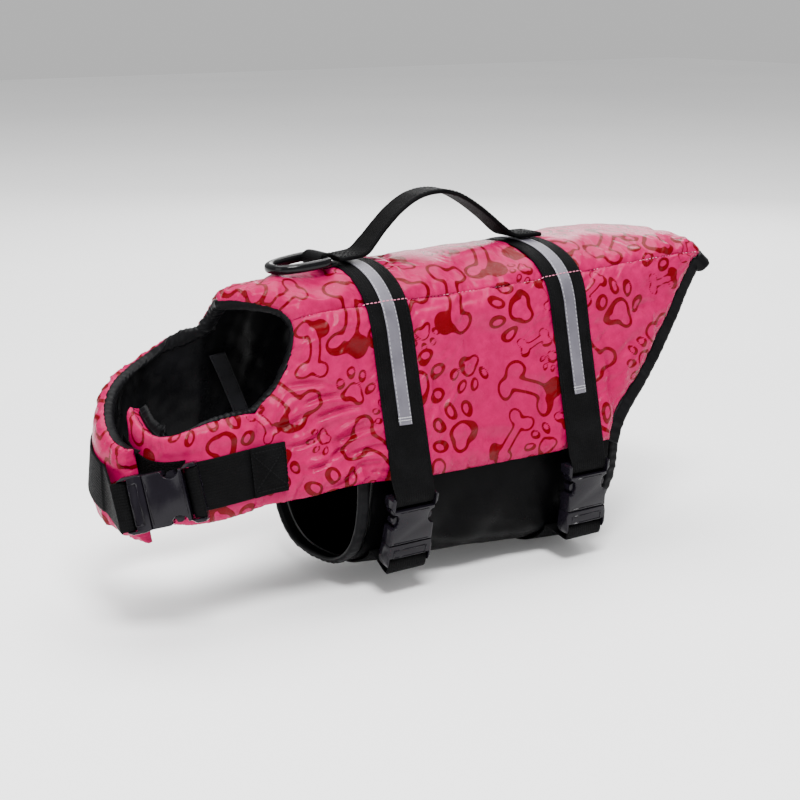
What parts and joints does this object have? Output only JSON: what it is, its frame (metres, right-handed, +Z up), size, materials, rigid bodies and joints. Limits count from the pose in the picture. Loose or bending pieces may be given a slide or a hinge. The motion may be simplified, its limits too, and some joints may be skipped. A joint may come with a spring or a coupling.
{
  "type": "dog life jacket",
  "caption": "Padded dog life jacket in pink paw-and-bone print, filled out as worn, with a satin lining, webbing straps, side-release buckles, top handle and leash ring.",
  "frame": {"origin": "on the lining under the crown, where the jacket rests on the wearer's back, midway between the two side straps", "axes": "+X along the wearer's back towards the tail, the neck end at -X; +Y to the wearer's right, -Y to its left, the side with the buckles; +Z up, away from the back"},
  "size_m": [0.4971, 0.1734, 0.2681],
  "materials": {
    "print_cloth": "satin",
    "satin_lining": "satin",
    "ruched_binding": "satin",
    "grey_tape": "matte",
    "belly_cloth": "satin",
    "webbing": "matte",
    "reflective": "satin",
    "hook_cloth": "matte",
    "buckle_plastic": "gloss",
    "ring_plastic": "gloss"
  },
  "bodies": {
    "jacket": {"back_panel": "print_cloth", "side_panel_left": "print_cloth", "side_panel_right": "print_cloth", "lining": "satin_lining", "rear_binding": "ruched_binding", "neck_binding": "ruched_binding", "seam_tape_left": "grey_tape", "seam_tape_right": "grey_tape", "belly_panel": "belly_cloth", "belly_binding_front": "ruched_binding", "belly_binding_rear": "ruched_binding", "front_buckle_socket": "buckle_plastic", "front_buckle_plug": "buckle_plastic", "strap_front": "webbing", "belly_strap_front": "webbing", "reflective_tape_front": "reflective", "rear_buckle_socket": "buckle_plastic", "rear_buckle_plug": "buckle_plastic", "strap_rear": "webbing", "belly_strap_rear": "webbing", "reflective_tape_rear": "reflective", "neck_buckle_socket": "buckle_plastic", "neck_buckle_plug": "buckle_plastic", "neck_strap_left": "webbing", "neck_strap_right": "webbing", "hook_pad": "hook_cloth", "handle": "webbing", "ring_tab": "webbing"},
    "ring": {"leash_ring": "ring_plastic"}
  },
  "joints": [
    {"name": "ring_swing", "type": "hinge", "parent": "jacket", "child": "ring", "pos_m": [-0.097, 0, 0.0149], "axis": [0, 1, 0], "range_deg": [0, 110]}
  ]
}
